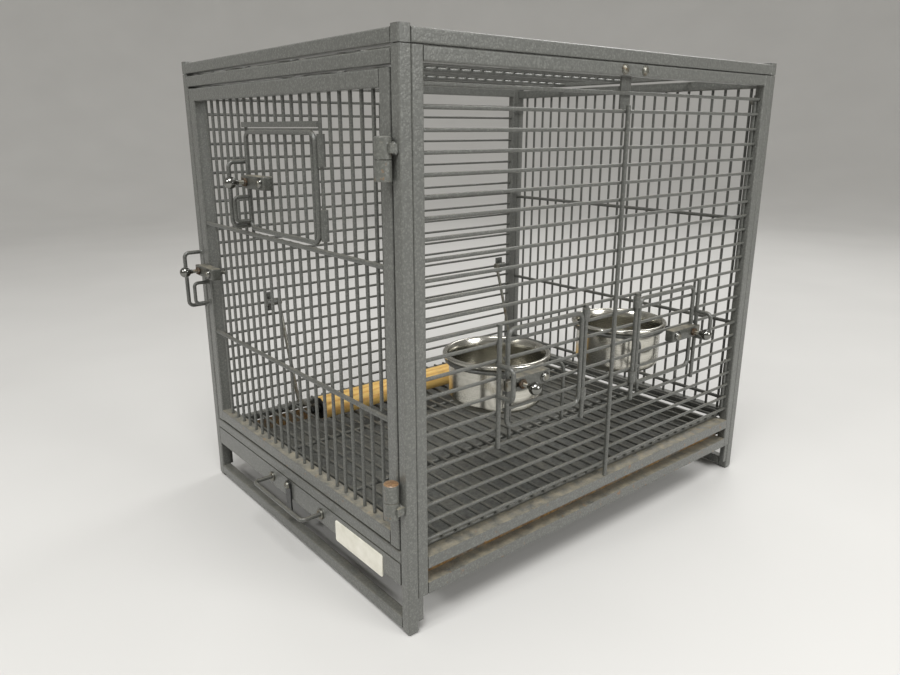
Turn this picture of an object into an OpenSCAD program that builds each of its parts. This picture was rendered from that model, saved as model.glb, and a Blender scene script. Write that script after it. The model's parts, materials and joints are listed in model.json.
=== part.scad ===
// Knock-down wire travel cage: tube frames, welded wire panels, a hinged front
// door with a smaller access door in it, two feeder doors with steel cups,
// a pull-out tray, a floor grate and a swing-up wooden perch.
// Millimetres, +Z up, front towards -Y, feeder side towards +X. The origin lies
// on the floor under the middle of the whole outline, latch knobs included.

/* [Cage] */
// Width across the front, over the frames
cage_w = 374; // [340:1:460]
// Depth from front to back, over the frames
cage_d = 478; // [440:1:580]
// Height over the roof corners
cage_h = 454; // [420:1:560]

/* [Frame tubes] */
// Side of the square frame tube
tube = 10; // [9:0.5:12]
// Wall of the frame tube
tube_wall = 1.2; // [0.8:0.1:1.6]
// Outer corner radius of the tube
tube_round = 1.5; // [0.8:0.1:2]
// Side of the square tube of the main door
door_tube = 12; // [10:0.5:14]
// Sheet thickness of the angle rails
angle_wall = 1.6; // [1.2:0.1:2.4]
// How far the angle rails' flanges reach in past the tubes
angle_flange = 5; // [4:0.5:10]
// How much further the tray's rails reach in
tray_ledge = 4; // [2:0.5:8]
// Height of the foot plugs under the corner posts
foot_h = 3; // [2:0.5:5]
// How far the roof corner blocks stand above the roof rails
corner_rise = 1.5; // [0.5:0.5:3]

/* [Levels above the floor] */
// Underside of the bottom rails, front and back
bottom_rail_z = 3; // [2:1:6]
// Underside of the rails that carry the tray
tray_rail_z = 32; // [28:1:34]
// Underside of the angle rails that carry the grate
grate_rail_z = 55; // [54:1:60]
// Underside of the rail under the door
sill_z = 62; // [60:1:68]

/* [Wire] */
// Diameter of the grille bars
bar_d = 3; // [2.5:0.5:3.5]
// Diameter of cross rods, door wires and keepers
rod_d = 4; // [3.5:0.5:5]
// Spacing of the bars in the back panel, roof and floor grate
bar_pitch = 15; // [13:0.5:18]
// Spacing of the bars in the door
door_pitch = 14.8; // [13:0.1:16]
// Spacing of the horizontal bars in the sides
side_pitch = 14.8; // [13:0.2:17]
// How deep two crossing wires are welded into each other
weld_sink = 0.5; // [0.3:0.1:0.8]

/* [Main door] */
// Gap round the door
door_gap = 2; // [1.5:0.5:3]
// Outer radius of the hinge barrels
barrel_r = 6; // [5:0.5:7]
// Length of one hinge barrel half
barrel_h = 14; // [10:1:18]
// Diameter of the hinge pins
pin_d = 6; // [5:0.5:7]
// Radial running clearance in the hinges
hinge_clear = 0.08; // [0.05:0.01:0.1]
// Height of the lower cross rod
low_rod_z = 178; // [150:1:200]
// Height of the upper cross rod
high_rod_z = 295; // [260:1:310]
// Height of the middle of the door latch
door_latch_z = 246; // [235:1:260]

/* [Access door] */
// Number of the door bar on its latch side, counted from the middle
access_latch_bar = -4; // [-6:1:-3]
// Number of the door bar that it hinges on, counted from the middle
access_hinge_bar = 5; // [3:1:6]
// Height of the access door wire frame
access_h = 90; // [70:1:96]
// Outer radius of the hinge sleeves
sleeve_r = 3.25; // [3:0.25:4]
// Length of the access door's sleeves
sleeve_h = 25; // [15:1:30]

/* [Feeder doors] */
// Middle of the first feeder opening, from the cage's middle towards the front
feeder_1_y = -92.5; // [-105:0.5:-85]
// Middle of the second feeder opening, from the cage's middle towards the back
feeder_2_y = 84; // [80:0.5:100]
// Distance between the fixed rods either side of a feeder opening
feeder_span = 104; // [100:1:110]
// First side bar that is cut for the openings, counted from the bottom
cut_bar_low = 5; // [4:1:6]
// Last side bar that is cut for the openings
cut_bar_high = 10; // [9:1:12]

/* [Latches] */
// Length of a latch hood
hood_l = 40; // [36:1:46]
// Height of a latch hood
hood_h = 12; // [11:0.5:14]
// Depth of a latch hood
hood_d = 10; // [9:0.5:12]
// Sheet thickness of a hood
hood_wall = 1.2; // [1:0.1:1.5]
// Distance from the keeper to the hood
hood_gap = 11.5; // [10:0.5:14]
// Travel of a latch bolt
bolt_travel = 13; // [10:0.5:15]
// Sliding clearance round a latch bolt
bolt_clear = 0.35; // [0.3:0.05:0.5]
// Diameter of the ball knobs
ball_d = 11; // [9:0.5:13]
// Distance from a hood's base to the middle of the ball
ball_reach = 25; // [22:0.5:28]
// How far a keeper loop stands out
keeper_reach = 18; // [16:0.5:19]
// How far a staple loop stands out
staple_reach = 15; // [12:0.5:17]

/* [Cups] */
// Diameter over a cup's rolled rim
cup_rim_d = 98; // [80:1:98]
// Height of a cup
cup_h = 48; // [40:1:60]
// Sheet thickness of a cup
cup_wall = 0.9; // [0.7:0.1:1.2]
// Height of the holder rings
ring_z = 190; // [182:1:200]

/* [Tray and grate] */
// Depth of the tray pan
tray_h = 16; // [12:1:17]
// Sheet thickness of the tray
tray_wall = 1.2; // [1:0.1:1.6]
// Clearance of the tray at each side
tray_clear = 1; // [0.5:0.5:2]
// Width of the tray handle
handle_w = 97; // [80:1:120]
// How far the tray handle stands out
handle_reach = 20; // [16:1:26]
// Length and height of the blank plate on the tray
plate_size = [73, 20];

/* [Perch] */
// Diameter of the perch
perch_d = 27; // [20:1:32]
// Length of the perch
perch_l = 332; // [280:1:340]
// Clearance of the perch over the grate
perch_clear = 0.6; // [0.4:0.1:2]
// Height of the perch's pivots
perch_pivot_z = 198; // [190:1:210]

/* [Hidden] */
$fn = 48;
hair = 0.01;
seam = 0.15;
function snap(v) = round(v * 100) / 100;

// Outline: cage plus the knobs on the front and on the feeder side
bars_back = tube / 2;
latch_out = ball_reach + ball_d / 2;
side_out = latch_out - bars_back + bar_d / 2;
x_left = -(cage_w + side_out) / 2;
x_right = x_left + cage_w;
y_back = (cage_d + latch_out) / 2;
y_front = y_back - cage_d;
x_mid = (x_left + x_right) / 2;
y_mid = (y_front + y_back) / 2;

// Levels
roof_z = cage_h - corner_rise - tube;
post_top = roof_z - 0.7;
top_rail_z = post_top - 1.8 - tube;
side_top_z = post_top - tube;
grate_z = grate_rail_z + tube;
tray_z = tray_rail_z + tube;
sill_top = sill_z + tube;

// Inner faces of the four corner posts
in_left = x_left + tube;
in_right = x_right - tube;
in_front = y_front + tube;
in_back = y_back - tube;

// Planes of the wire panels
side_bar_x = x_right - bars_back;
side_rod_x = side_bar_x + (bar_d + rod_d) / 2 - weld_sink;
left_bar_x = x_left + bars_back;
left_rod_x = left_bar_x - (bar_d + rod_d) / 2 + weld_sink;
door_bar_y = y_front + door_tube / 2;
door_rod_y = door_bar_y - (bar_d + rod_d) / 2 + weld_sink;
back_bar_y = y_back - bars_back;
back_rod_y = back_bar_y - (bar_d + rod_d) / 2 + weld_sink;

// Clips: sheet and width, the back ones' drop under the side rail, a bolt's distance from the edge,
// and the lower clips' width and height over the floor
clip_t = 1.5;
clip_w = 13;
clip_drop = 22;
clip_edge = 4;
low_clip_w = 5;
low_clip_z = 10;
clip_front = y_front + door_tube + 1;

// Strap inside the feeder side's top rail, and its screws' places along it
strap_t = 1.6;
strap_l = 36;
strap_screw_y = [-10, 17];

// Main door
door_left = in_left + door_gap;
door_right = in_right - door_gap;
door_low = sill_top + door_gap;
door_high = top_rail_z - door_gap;
hinge_x = in_right - door_gap / 2;
hinge_y = y_front - barrel_r - 0.5;
hinge_from_end = 31;
hinge_low_z = door_low + hinge_from_end;
hinge_high_z = door_high - hinge_from_end - 2 * barrel_h - 13;
bar_low = door_low + door_tube - weld_sink;
bar_high = door_high - door_tube + weld_sink;
door_bar_n = floor((door_right - door_left - 2 * door_tube - door_pitch / 2) / door_pitch / 2);

// Access door
acc_left = x_mid + access_latch_bar * door_pitch;
acc_right = x_mid + access_hinge_bar * door_pitch;
acc_low = high_rod_z + rod_d + 2;
acc_high = acc_low + access_h - rod_d;
acc_bar_z = acc_high + rod_d / 2 + 2;
acc_weld_r = sleeve_r + rod_d / 2 - weld_sink;
acc_wire_x = snap(acc_right - sqrt(pow(acc_weld_r, 2) - pow(door_bar_y - door_rod_y, 2)));
acc_stile_x = acc_left + (bar_d + rod_d) / 2 + 0.8;
access_z = acc_high - 43;

// Bars of the side panels
side_bar_n = floor((side_top_z - grate_z) / side_pitch - 0.6);
side_bar_0 = grate_z + (side_top_z - grate_z - (side_bar_n - 1) * side_pitch) / 2;
function side_bar_z(i) = side_bar_0 + i * side_pitch;

// Feeder doors, inside the cut in the side bars
feed_low = side_bar_z(cut_bar_low);
feed_high = side_bar_z(cut_bar_high + 1) - (bar_d + rod_d) / 2 - 1.6;
feed_rod_low = side_bar_z(cut_bar_low - 1) - 1;
feed_rod_high = side_bar_z(cut_bar_high + 1) + 1;
feed_hinge_1 = y_mid + feeder_1_y + feeder_span / 2;
feed_hinge_2 = y_mid + feeder_2_y - feeder_span / 2;
feed_keep_1 = y_mid + feeder_1_y - feeder_span / 2;
feed_keep_2 = y_mid + feeder_2_y + feeder_span / 2;
feed_sleeve_r = rod_d / 2 + 1.5;
feed_sleeve_h = side_pitch - bar_d - 1;
feed_latch_z = side_bar_z(7) + side_pitch / 2 + 2;
feed_base_x = side_bar_x + bar_d / 2;
stile_gap = hood_gap - rod_d / 2 - 0.2;

// Latches
keeper_x = x_left + tube / 2;
stem_d = 4;
screw_d = 4;
stem_at = stem_d / 2 + rod_d / 2 + bolt_travel + 0.5;
bolt_tip = rod_d / 2 + 0.7;
bolt_back = rod_d + 0.5 - weld_sink;
screw_at = hood_gap + hood_l - 7;
bars_to_screw = (keeper_x + screw_at - x_mid) / door_pitch;
door_screw_at = x_mid + (round(bars_to_screw - 0.5) + 0.5) * door_pitch - keeper_x;
keeper_top = 17;
keeper_low = hood_h / 2 + 1.5;
keeper_tall = 38;
staple_top = 14;
staple_low = 36;
staple_d = rod_d - 0.5;
staple_r = 4;

// Cups
ring_r = cup_rim_d / 2 - 3.5;
cup_r = ring_r - rod_d / 2 - 0.4;
cup_x = side_bar_x - bar_d / 2 - 5 - cup_rim_d / 2;
rim = 2.4;
cup_top = ring_z + rod_d / 2 + 2 * rim + 0.35;

// Tray
tray_left = in_left + tray_clear + 1;
tray_right = in_right - tray_clear - 1;
tray_floor = tray_z + 0.4;
tray_back = in_back - 3;
front_top = sill_z - 0.6;
latch_x = x_mid - 8;
latch_z = front_top - 4.5;
latch_l = 26;
latch_w = 10;
plate_x = 79;
plate_drop = 5;
plate_t = 0.8;

// Grate and perch
grate_bar_z = grate_z + rod_d + bar_d / 2 - weld_sink;
grate_top = grate_bar_z + bar_d / 2;
grate_clear = 1;
perch_from_mid = [-101, 16];
perch_x = x_mid + perch_from_mid[0];
perch_y = y_mid + perch_from_mid[1];
perch_z = grate_top + perch_clear + perch_d / 2;
pivot_x = x_left + 13.5;
arm_gap = 5;
eye_t = rod_d + 1;
pin_l = 13;
arm_front = perch_y - perch_l / 2 - arm_gap - rod_d / 2;
arm_back = perch_y + perch_l / 2 + arm_gap + rod_d / 2;

// ---- Building blocks ----

// Square with rounded corners, from the origin
module round_square(w, h, r) {
    translate([r, 0]) square([w - 2 * r, h]);
    translate([0, r]) square([w, h - 2 * r]);
    for (x = [r, w - r], y = [r, h - r]) translate([x, y]) circle(r);
}

// Hollow square tube of side s, standing on the origin
module tube_up(s, l) {
    linear_extrude(l) difference() {
        round_square(s, s, tube_round);
        translate([tube_wall, tube_wall]) square(s - 2 * tube_wall);
    }
}

// The same tube lying along +X or +Y
module tube_x(s, l) rotate([90, 0, 90]) tube_up(s, l);
module tube_y(s, l) translate([0, 0, s]) rotate([-90, 0, 0]) tube_up(s, l);

// Straight round wires
module wire_z(d, l) cylinder(d = d, h = l);
module wire_x(d, l) rotate([0, 90, 0]) cylinder(d = d, h = l);
module wire_y(d, l) rotate([-90, 0, 0]) cylinder(d = d, h = l);

// Quarter bend in the XY plane, centre at the origin, from +X round to +Y
module bend(d, r) rotate_extrude(angle = 90) translate([r, 0]) circle(d = d);

// Closed wire rectangle in the XZ plane: corners at (0, 0) and (w, h), on the wire's middle line
module wire_frame(w, h, d, r) {
    for (z = [0, h]) translate([r, 0, z]) wire_x(d, w - 2 * r);
    for (x = [0, w]) translate([x, 0, r]) wire_z(d, h - 2 * r);
    translate([w - r, 0, h - r]) rotate([90, 0, 0]) bend(d, r);
    translate([r, 0, h - r]) rotate([90, -90, 0]) bend(d, r);
    translate([r, 0, r]) rotate([90, 180, 0]) bend(d, r);
    translate([w - r, 0, r]) rotate([90, 90, 0]) bend(d, r);
}

// D-shaped loop in the YZ plane: legs from y = 0 out to y = reach, between z = low and z = high
module wire_loop(reach, low, high, d, r) {
    for (z = [low, high]) translate([0, 0, z]) wire_y(d, reach - r);
    translate([0, reach, low + r]) wire_z(d, high - low - 2 * r);
    translate([0, reach - r, high - r]) rotate([0, -90, 0]) bend(d, r);
    translate([0, reach - r, low + r]) rotate([0, -90, 0]) rotate([0, 0, 90]) bend(d, r);
}

// Places for the latch parts: local +x runs from the keeper along the hood, local +y points outwards
module on_front(x, y, z) translate([x, y, z]) mirror([0, 1, 0]) children();
module on_side(keeper_y, dir, z) {
    translate([feed_base_x, keeper_y, z]) rotate([0, 0, -90]) mirror([dir > 0 ? 1 : 0, 0, 0]) children();
}

// ---- Frames ----

module corner_posts() {
    color("dimgray") for (x = [x_left, in_right], y = [y_front, in_back])
        translate([x, y, foot_h]) tube_up(tube, post_top - foot_h);
}

module side_posts() {
    color("dimgray") for (x = [x_left, in_right], y = [in_front, in_back - tube])
        translate([x, y, tray_rail_z]) tube_up(tube, post_top - tray_rail_z);
}

module front_rails() {
    color("dimgray") for (z = [bottom_rail_z, sill_z, top_rail_z])
        translate([in_left, y_front, z]) tube_x(tube, in_right - in_left);
}

module back_rails() {
    color("dimgray") for (z = [bottom_rail_z, sill_z, top_rail_z])
        translate([in_left, in_back, z]) tube_x(tube, in_right - in_left);
}

// Angle rail along +Y: upright leg on the outside, flange inwards along its top
module angle_rail(flange) {
    l = cage_d - 4 * tube;
    translate([tube - angle_wall, 0, 0]) cube([angle_wall, l, tube]);
    translate([tube - flange, 0, tube - angle_wall]) cube([flange, l, angle_wall]);
}

module side_rails() {
    translate([0, in_front + tube, side_top_z]) tube_y(tube, cage_d - 4 * tube);
    translate([0, in_front + tube, tray_rail_z]) angle_rail(tube + angle_flange + tray_ledge);
    translate([0, in_front + tube, grate_rail_z]) angle_rail(tube + angle_flange);
}

module right_rails() color("gray") translate([in_right, 0, 0]) side_rails();

module left_rails() color("gray") translate([in_left, 0, 0]) mirror([1, 0, 0]) side_rails();

module roof_rails() {
    color("dimgray") {
        for (y = [y_front, in_back])
            translate([in_left + seam, y, roof_z]) tube_x(tube, in_right - in_left - 2 * seam);
        for (x = [x_left, in_right])
            translate([x, in_front + seam, roof_z]) tube_y(tube, in_back - in_front - 2 * seam);
    }
}

// Corner blocks of the roof, each with a peg down into its post
module roof_corners() {
    peg = tube - 2 * tube_wall - 0.6;
    peg_in = 12;
    inset = (tube - peg) / 2;
    color("dimgray") for (x = [x_left, in_right], y = [y_front, in_back]) translate([x, y, 0]) {
        translate([0, 0, roof_z]) linear_extrude(cage_h - roof_z) round_square(tube, tube, tube_round);
        translate([inset, inset, post_top - peg_in]) cube([peg, peg, roof_z - post_top + peg_in + 1]);
    }
}

module roof_grille() {
    n = floor((cage_d - 2 * tube) / bar_pitch - 0.6);
    z = roof_z + tube / 2;
    rod_z = z - (bar_d + rod_d) / 2 + weld_sink;
    rod_gap = cage_w / 3 - 30;
    color("gray") {
        for (i = [0 : n - 1])
            translate([in_left - weld_sink, y_mid + (i - (n - 1) / 2) * bar_pitch, z])
                wire_x(bar_d, in_right - in_left + 2 * weld_sink);
        for (x = [-rod_gap, 0, rod_gap])
            translate([x_mid + x, in_front - weld_sink, rod_z])
                wire_y(rod_d, in_back - in_front + 2 * weld_sink);
    }
}

// Rounded foot plug under each corner post
module feet() {
    color("dimgray") for (x = [x_left, in_right], y = [y_front, in_back]) translate([x, y, 0]) {
        hull() {
            translate([tube_round, tube_round, 0]) cube([tube - 2 * tube_round, tube - 2 * tube_round, hair]);
            translate([0.2, 0.2, foot_h - hair]) cube([tube - 0.4, tube - 0.4, hair]);
        }
    }
}

// Draws its children at the cage's left and right
module both_sides() {
    children();
    translate([2 * x_mid, 0, 0]) mirror([1, 0, 0]) children();
}

// Lower clips carry the side frames' posts. Upper clips tie the side frames: the front ones to
// their own top rail, behind the door, and the back ones to the corner posts
module corner_clips() {
    color("gray") both_sides() {
        for (y = [in_front, in_back - low_clip_w])
            translate([x_right - 3, y, low_clip_z]) cube([2, low_clip_w, tray_rail_z - low_clip_z]);
        translate([in_right - clip_t, clip_front, side_top_z - clip_w])
            cube([clip_t, clip_w, clip_w + tube - 2]);
        translate([in_right - clip_t, in_back - tube + 2, side_top_z - clip_drop])
            cube([clip_t, 2 * tube - 4, clip_w]);
    }
}

module clip_bolt() {
    translate([-2.2, 0, 0]) wire_x(6, 2.2);
    translate([-4.5, 0, 0]) wire_x(3, 4);
}

module clip_bolts() {
    color("silver") both_sides() {
        translate([in_right - clip_t, clip_front + clip_edge, side_top_z - clip_w / 2]) clip_bolt();
        translate([in_right - clip_t, clip_front + clip_w - clip_edge, side_top_z + tube / 2 - 1])
            clip_bolt();
        for (i = [-0.5, 0.5])
            translate([in_right - clip_t, in_back + i * tube, side_top_z - clip_drop + clip_w / 2])
                clip_bolt();
    }
}

// ---- Wire panels ----

module back_grille() {
    n = floor((in_right - in_left) / bar_pitch - 0.4);
    color("gray") {
        for (i = [0 : n - 1])
            translate([x_mid + (i - (n - 1) / 2) * bar_pitch, back_bar_y, sill_top - weld_sink])
                wire_z(bar_d, top_rail_z - sill_top + 2 * weld_sink);
        for (z = [sill_top + 14, low_rod_z, high_rod_z])
            translate([in_left, back_rod_y, z]) wire_x(rod_d, in_right - in_left);
    }
}

// Horizontal side bars from y0 to y1, for the bar numbers first to last
module side_bars(x, y0, y1, first, last) {
    for (i = [first : last]) translate([x, y0, side_bar_z(i)]) wire_y(bar_d, y1 - y0);
}

module left_grille() {
    color("gray") {
        side_bars(left_bar_x, in_front + tube, in_back - tube, 0, side_bar_n - 1);
        translate([left_rod_x, y_mid, grate_z]) wire_z(rod_d, side_bar_z(side_bar_n - 1) - grate_z);
    }
}

// Full-length bars under and over the feeder doors, each group tied by two short uprights at its ends
module right_grille_long() {
    color("gray") for (g = [[0, cut_bar_low - 1], [cut_bar_high + 1, side_bar_n - 1]]) {
        side_bars(side_bar_x, in_front + tube, in_back - tube, g[0], g[1]);
        for (y = [in_front + tube + rod_d / 2, in_back - tube - rod_d / 2])
            translate([side_bar_x - (bar_d + rod_d) / 2 + weld_sink, y, side_bar_z(g[0])])
                wire_z(rod_d, side_bar_z(g[1]) - side_bar_z(g[0]));
    }
}

// Short bars before, between and behind the feeder openings, with the fixed rods beside the openings
module right_grille_short() {
    color("gray") {
        side_bars(side_bar_x, in_front + tube, feed_keep_1, cut_bar_low, cut_bar_high);
        side_bars(side_bar_x, feed_hinge_1, feed_hinge_2, cut_bar_low, cut_bar_high);
        side_bars(side_bar_x, feed_keep_2, in_back - tube, cut_bar_low, cut_bar_high);
        for (y = [feed_keep_1, feed_hinge_1, feed_hinge_2, feed_keep_2])
            translate([side_rod_x, y, feed_rod_low]) wire_z(rod_d, feed_rod_high - feed_rod_low);
    }
}

module right_middle_rod() {
    color("gray") translate([side_rod_x, y_mid, grate_z])
        wire_z(rod_d, side_bar_z(side_bar_n - 1) - grate_z - 10);
}

// Strap that hangs inside the top rail over the middle rod, and the two screws that hold it
module top_strap() {
    drop = 26;
    color("gray") translate([in_right - strap_t, y_mid, 0]) {
        translate([0, -strap_l / 2, side_top_z + 1]) cube([strap_t, strap_l, tube - 2]);
        translate([0, -1, side_top_z - drop]) cube([strap_t, 13, drop + 2]);
    }
}

module strap_screws() {
    color("silver") for (y = strap_screw_y) translate([x_right, y_mid + y, side_top_z + tube / 2]) {
        rotate([0, 90, 0]) {
            cylinder(d = 8, h = 0.7);
            translate([0, 0, 0.7]) cylinder(d1 = 7.4, d2 = 4.4, h = 1.4);
            translate([0, 0, -tube]) cylinder(d = 3, h = tube + 0.4);
        }
    }
}

module floor_grate() {
    x0 = in_left - 0.5 + grate_clear;
    x1 = in_right + 0.5 - grate_clear;
    y0 = in_front + grate_clear;
    y1 = in_back - grate_clear;
    n = floor((y1 - y0 - bar_d) / bar_pitch) + 1;
    color("gray") {
        for (i = [0 : n - 1])
            translate([x0, (y0 + y1) / 2 + (i - (n - 1) / 2) * bar_pitch, grate_bar_z])
                wire_x(bar_d, x1 - x0);
        for (x = [x0 + rod_d, (2 * x0 + x1) / 3, (x0 + 2 * x1) / 3, x1 - rod_d])
            translate([x, y0, grate_z + rod_d / 2]) wire_y(rod_d, y1 - y0);
    }
}

// ---- Tray ----

module tray_pan() {
    w = tray_right - tray_left;
    l = tray_back - y_front - tray_wall;
    color("darkgray") translate([tray_left, y_front + tray_wall, tray_floor]) difference() {
        cube([w, l, tray_h]);
        translate([tray_wall, tray_wall, tray_wall]) cube([w - 2 * tray_wall, l - 2 * tray_wall, tray_h]);
    }
}

module tray_front() {
    color("dimgray") translate([in_left + 0.8, y_front, tray_floor])
        cube([in_right - in_left - 1.6, tray_wall, front_top - tray_floor]);
}

// Wire handle that stands straight out, on two round weld pads
module tray_handle() {
    r = 5;
    pad = 1.4;
    color("silver") translate([x_mid - handle_w / 2 + 4, y_front, tray_floor + 9]) {
        for (x = [0, handle_w]) {
            translate([x, -handle_reach + r, 0]) wire_y(rod_d, handle_reach - r);
            translate([x, -pad, 0]) wire_y(2 * rod_d, pad);
        }
        translate([r, -handle_reach, 0]) wire_x(rod_d, handle_w - 2 * r);
        translate([r, -handle_reach + r, 0]) rotate([0, 0, 180]) bend(rod_d, r);
        translate([handle_w - r, -handle_reach + r, 0]) rotate([0, 0, -90]) bend(rod_d, r);
    }
}

module tray_plate() {
    color("ivory") translate([x_mid + plate_x, y_front - plate_t, tray_floor - plate_drop])
        rotate([-90, 0, 0]) mirror([0, 1, 0])
            linear_extrude(plate_t) round_square(plate_size[0], plate_size[1], 2);
}

// Turn-button that hangs in front of the tray
module tray_latch() {
    color("gray") translate([latch_x, y_front - 0.5, latch_z]) rotate([90, 0, 0]) linear_extrude(1.6)
        difference() {
            union() {
                circle(d = latch_w);
                translate([-latch_w / 2, -latch_l]) square([latch_w, latch_l]);
                translate([0, -latch_l]) circle(d = latch_w);
            }
            circle(d = screw_d + 2 * hinge_clear);
        }
}

module tray_latch_screw() {
    color("silver") translate([latch_x, y_front, latch_z]) rotate([90, 0, 0]) {
        translate([0, 0, -tray_wall - 1]) cylinder(d = screw_d, h = tray_wall + 4);
        translate([0, 0, 2.5]) cylinder(d1 = 8, d2 = 6, h = 1.8);
    }
}

// ---- Main door ----

module door_stiles() {
    color("dimgray") for (x = [door_left, door_right - door_tube])
        translate([x, y_front, door_low]) tube_up(door_tube, door_high - door_low);
}

module door_rails() {
    color("dimgray") for (z = [door_low, door_high - door_tube])
        translate([door_left + door_tube, y_front, z])
            tube_x(door_tube, door_right - door_left - 2 * door_tube);
}

// All door bars up to the upper cross rod, with both cross rods welded on
module door_bars_lower() {
    color("gray") {
        for (i = [-door_bar_n : door_bar_n])
            translate([x_mid + i * door_pitch, door_bar_y, bar_low]) wire_z(bar_d, high_rod_z - bar_low);
        for (z = [low_rod_z, high_rod_z])
            translate([door_left + door_tube - weld_sink, door_rod_y, z])
                wire_x(rod_d, door_right - door_left - 2 * door_tube + 2 * weld_sink);
    }
}

// Whole door bars beside the access door, over the upper cross rod
module door_bars_upper() {
    color("gray") for (i = [-door_bar_n : door_bar_n]) if (i <= access_latch_bar || i >= access_hinge_bar)
        translate([x_mid + i * door_pitch, door_bar_y, high_rod_z]) wire_z(bar_d, bar_high - high_rod_z);
}

// Fixed bar over the access door, with the door bars cut short by it
module access_header() {
    color("gray") {
        for (i = [access_latch_bar + 1 : access_hinge_bar - 1])
            translate([x_mid + i * door_pitch, door_bar_y, acc_bar_z]) wire_z(bar_d, bar_high - acc_bar_z);
        translate([acc_left - 1, door_bar_y - bar_d / 2 - 3 + weld_sink, acc_bar_z])
            cube([acc_right - acc_left + 2, 3, 4.5]);
    }
}

// One hinge barrel half with a lug to the frame on its +X or -X side
module knuckle(z, dir, bore) {
    lug = 7;
    near = door_gap / 2 + 0.3;
    translate([hinge_x, hinge_y, z]) difference() {
        union() {
            cylinder(r = barrel_r, h = barrel_h);
            translate([dir > 0 ? near : -near - lug, 0, 4]) cube([lug, y_front - hinge_y, 6]);
        }
        translate([0, 0, -1]) cylinder(r = bore, h = barrel_h + 2);
    }
}

module post_knuckles() {
    color("gray") {
        knuckle(hinge_low_z, 1, pin_d / 2);
        knuckle(hinge_high_z + barrel_h + 0.5, 1, pin_d / 2);
    }
}

module door_knuckles() {
    color("gray") {
        knuckle(hinge_low_z + barrel_h + 0.5, -1, pin_d / 2 + hinge_clear);
        knuckle(hinge_high_z, -1, pin_d / 2 + hinge_clear);
    }
}

module hinge_pins() {
    color("silver") for (z = [hinge_low_z, hinge_high_z])
        translate([hinge_x, hinge_y, z + 0.5]) cylinder(d = pin_d, h = 2 * barrel_h - 0.5);
}

// Access door: wire frame with bars, a stout latch stile and two sleeves round a door bar
module access_door() {
    w = acc_wire_x - acc_stile_x;
    color("gray") {
        translate([acc_stile_x, door_rod_y, acc_low]) wire_frame(w, acc_high - acc_low, rod_d, 8);
        for (i = [access_latch_bar + 1 : access_hinge_bar - 1])
            translate([x_mid + i * door_pitch, door_bar_y, acc_low - 1])
                wire_z(bar_d, acc_high - acc_low + 2);
        difference() {
            for (z = [acc_low + 2, acc_high - sleeve_h - 1])
                translate([acc_right, door_bar_y, z]) cylinder(r = sleeve_r, h = sleeve_h);
            translate([acc_right, door_bar_y, acc_low - 5])
                cylinder(r = bar_d / 2 + hinge_clear, h = access_h + 10);
        }
        on_front(acc_stile_x, door_rod_y, access_z)
            wire_loop(staple_reach, -staple_low, -staple_top, staple_d, staple_r);
    }
}

// ---- Latches, drawn with the keeper at x = 0 and the hood's base at y = 0 ----

// Box hood, open towards the keeper, with a slot for the knob's stem
module hood(screw = screw_at) {
    slot = stem_d + 2 * bolt_clear;
    inside = [hood_l - hood_wall + 1, hood_d - 2 * hood_wall, hood_h - 2 * hood_wall];
    translate([hood_gap, 0, -hood_h / 2]) difference() {
        cube([hood_l, hood_d, hood_h]);
        translate([-1, hood_wall, hood_wall]) cube(inside);
        translate([-1, hood_wall, (hood_h - slot) / 2]) cube([stem_at - hood_gap + 1, hood_d, slot]);
        translate([stem_at - hood_gap, hood_wall, hood_h / 2]) wire_y(slot, hood_d);
        translate([screw - hood_gap, -1, hood_h / 2]) wire_y(screw_d, hood_d + 2);
    }
}

// Screw through the hood, with a washer, a shallow round head and, behind the bars, a nut
module hood_screw(behind = 0, screw = screw_at) {
    translate([screw, hood_d, 0]) rotate([-90, 0, 0]) {
        cylinder(d = 9, h = 0.8);
        translate([0, 0, 0.8]) cylinder(d1 = 7.5, d2 = 4.5, h = 2.2);
        translate([0, 0, -hood_d - behind]) cylinder(d = screw_d, h = hood_d + behind);
        if (behind > 0) translate([0, 0, -hood_d - behind]) cylinder(d = 7, h = 1.8, $fn = 6);
    }
}

// Sliding bolt with its nut, stem and ball
module bolt() {
    h = hood_h - 2 * hood_wall - 2 * bolt_clear;
    front = hood_d - hood_wall - bolt_clear;
    tail = stem_at + bolt_travel + 4;
    translate([bolt_tip, bolt_back, -h / 2]) cube([tail - bolt_tip, front - bolt_back, h]);
    translate([stem_at, front - 1, 0]) rotate([-90, 0, 0]) cylinder(d = stem_d, h = ball_reach - front);
    translate([stem_at, hood_d + bolt_clear, 0]) rotate([-90, 0, 0]) cylinder(d = 8.4, h = 2.6, $fn = 6);
    translate([stem_at, ball_reach, 0]) sphere(d = ball_d);
}

module keeper(low) translate([0, -1, 0]) wire_loop(keeper_reach + 1, -low - rod_d / 2, keeper_top, rod_d, 5);

module door_keeper() color("gray") on_front(keeper_x, y_front, door_latch_z) keeper(keeper_tall);

module door_staple() {
    color("gray") on_front(door_left + 5, y_front, door_latch_z)
        translate([0, -1, 0]) wire_loop(staple_reach + 1, -staple_low, -staple_top, staple_d, staple_r);
}

module access_keeper() color("gray") on_front(acc_left, door_bar_y - bar_d / 2, access_z) keeper(keeper_tall);

module feeder_keepers() {
    color("gray") {
        on_side(feed_keep_1, 1, feed_latch_z) keeper(keeper_low);
        on_side(feed_keep_2, -1, feed_latch_z) keeper(keeper_low);
    }
}

module door_hood() color("gray") on_front(keeper_x, y_front, door_latch_z) hood(door_screw_at);
module door_hood_screw() {
    behind = (door_tube + bar_d) / 2 + 2;
    color("silver") on_front(keeper_x, y_front, door_latch_z) hood_screw(behind, door_screw_at);
}
module door_bolt() color("silver") on_front(keeper_x, y_front, door_latch_z) bolt();

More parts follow.
